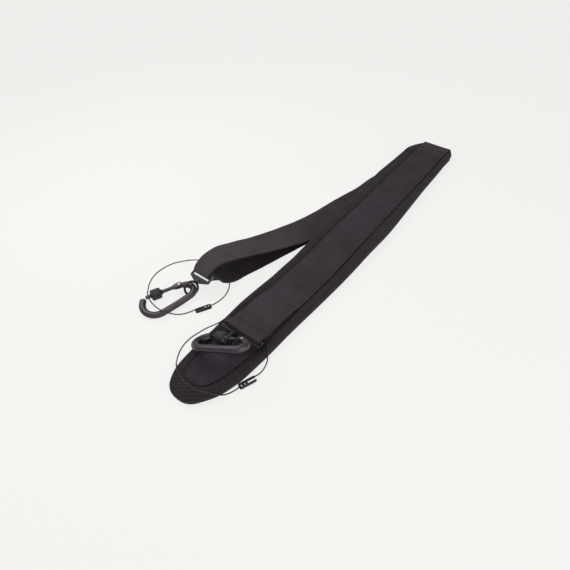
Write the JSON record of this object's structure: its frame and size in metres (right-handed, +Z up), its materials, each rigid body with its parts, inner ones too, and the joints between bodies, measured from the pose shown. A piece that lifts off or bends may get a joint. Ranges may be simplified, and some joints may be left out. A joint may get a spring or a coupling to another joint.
{
  "type": "padded cello case shoulder strap",
  "caption": "Padded shoulder strap with webbing, a slider and locking snap hooks on metal strap eyes, each with a thin wire loop",
  "frame": {"origin": "middle of the resting footprint, on the surface it lies on, measured without the loose wire loops", "axes": "+X along the pad from the tongue towards the slider end, +Y to the side where the adjustable webbing lies, +Z up"},
  "size_m": [0.596, 0.2027, 0.0468],
  "materials": {
    "pad_mesh": "black three-layer spacer mesh over foam",
    "panel_fabric": "smooth black woven lining",
    "black_webbing": "flat woven black webbing",
    "dark_metal": "black nickel, satin",
    "pin_steel": "plain steel",
    "coated_cable": "black coated wire rope",
    "connector_plastic": "black moulded sleeve"
  },
  "bodies": {
    "strap": {"shoulder_pad": "pad_mesh", "tongue_panel": "panel_fabric", "pad_webbing": "black_webbing", "adjuster_webbing": "black_webbing", "slider": "dark_metal", "strap_eye_pad": "dark_metal", "strap_eye_adjuster": "dark_metal", "hook_body_pad": "dark_metal", "hook_body_adjuster": "dark_metal", "hinge_pin_pad": "pin_steel", "hinge_pin_adjuster": "pin_steel", "cable_pad": "coated_cable", "connector_pad": "connector_plastic", "cable_adjuster": "coated_cable", "connector_adjuster": "connector_plastic"},
    "gate_pad": {"gate_pad": "dark_metal"},
    "gate_adjuster": {"gate_adjuster": "dark_metal"},
    "lock_nut_pad": {"lock_nut_pad": "dark_metal"},
    "lock_nut_adjuster": {"lock_nut_adjuster": "dark_metal"}
  },
  "joints": [
    {"name": "gate_pad_hinge", "type": "hinge", "parent": "strap", "child": "gate_pad", "pos_m": [-0.22223, -0.05944, 0.03166], "axis": [0.3403, 0.4354, 0.8335], "range_deg": [0, 20], "stiffness_Nm_per_rad": 0.06, "springref_deg": -17.19},
    {"name": "nut_pad_slide", "type": "slide", "parent": "gate_pad", "child": "lock_nut_pad", "axis": [0.1389, -0.8999, 0.4134], "range_m": [0, 0.0025]},
    {"name": "gate_adjuster_hinge", "type": "hinge", "parent": "strap", "child": "gate_adjuster", "pos_m": [-0.19672, 0.06715, 0.00873], "axis": [-0.0879, -0.0626, 0.9942], "range_deg": [0, 20], "stiffness_Nm_per_rad": 0.06, "springref_deg": -17.19},
    {"name": "nut_adjuster_slide", "type": "slide", "parent": "gate_adjuster", "child": "lock_nut_adjuster", "axis": [0.9003, -0.4322, 0.0524], "range_m": [0, 0.0025]}
  ]
}
